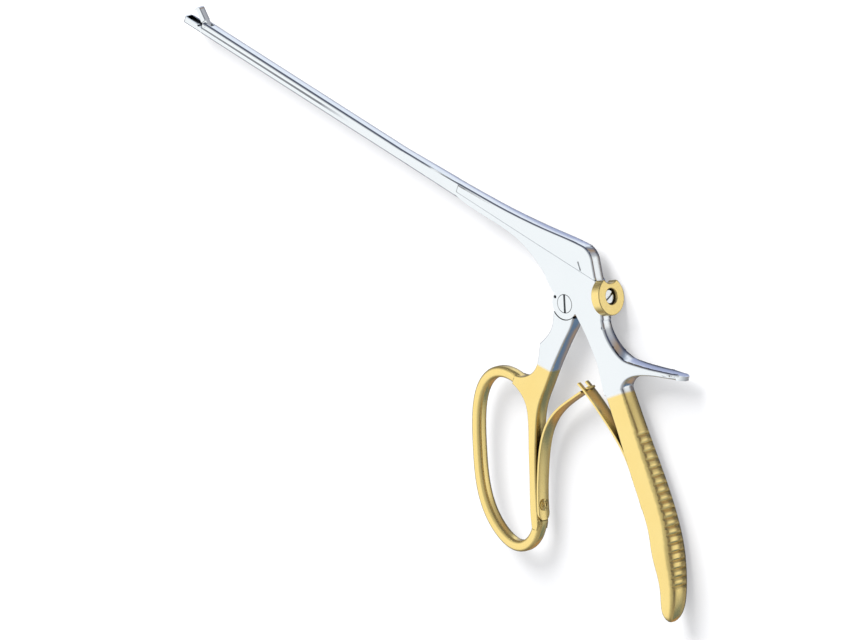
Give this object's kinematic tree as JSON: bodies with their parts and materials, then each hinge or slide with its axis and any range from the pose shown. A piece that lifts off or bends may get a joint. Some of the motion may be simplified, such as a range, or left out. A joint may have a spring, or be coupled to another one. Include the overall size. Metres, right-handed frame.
{
  "type": "biopsy punch forceps",
  "caption": "long-shafted biopsy punch with sliding upper shaft, hinged jaw over a basket, finger-loop handle, sprung grip and lock disc",
  "frame": {"origin": "bottom centre of the bounding box of the whole instrument at rest, lying on its side", "axes": "+X runs along the shaft from the jaws to the back, +Y from the handles up to the slider, +Z is the thickness, up from the surface it lies on"},
  "size_m": [0.2904, 0.1253, 0.0142],
  "materials": {
    "steel": "mirror-polished stainless steel",
    "steel_screws": "polished stainless steel",
    "gold_plate": "steel, gold-plated and polished"
  },
  "bodies": {
    "frame_body": {"frame": "steel", "pivot_screw": "steel_screws", "jaw_pivot_pin": "steel", "rear_spring": "gold_plate", "rear_spring_screw": "gold_plate", "lock_disc_screw": "steel_screws", "lock_disc_washer": "steel_screws"},
    "front_handle_body": {"front_handle": "gold_plate", "front_spring": "gold_plate", "front_spring_screw": "steel_screws"},
    "slider_body": {"slider": "steel", "jaw_drive_pin": "steel"},
    "upper_jaw_body": {"upper_jaw": "steel"},
    "lock_disc_body": {"lock_disc": "gold_plate"}
  },
  "joints": [
    {"name": "handle_pivot", "type": "hinge", "parent": "frame_body", "child": "front_handle_body", "pos_m": [0.05874, 0.0382, 0.0071], "axis": [0, 0, 1], "range_deg": [0, 5.49], "stiffness_Nm_per_rad": 1.5, "springref_deg": -11.46, "deforming": ["front_spring", "rear_spring"]},
    {"name": "slider_slide", "type": "slide", "parent": "frame_body", "child": "slider_body", "axis": [-1, 0, 0], "range_m": [0, 0.00163]},
    {"name": "jaw_pivot", "type": "hinge", "parent": "frame_body", "child": "upper_jaw_body", "pos_m": [-0.13566, 0.0522, 0.0071], "axis": [0, 0, 1], "range_deg": [0, 38]},
    {"name": "lock_disc_turn", "type": "hinge", "parent": "frame_body", "child": "lock_disc_body", "pos_m": [0.07294, 0.0479, 0.0071], "axis": [0.8526, 0.5225, 0], "continuous": true}
  ],
  "couplings": [
    {"joint": "slider_slide", "follows": "handle_pivot", "m_per_rad": 0.016992},
    {"joint": "jaw_pivot", "follows": "handle_pivot", "ratio": 6.9235}
  ]
}
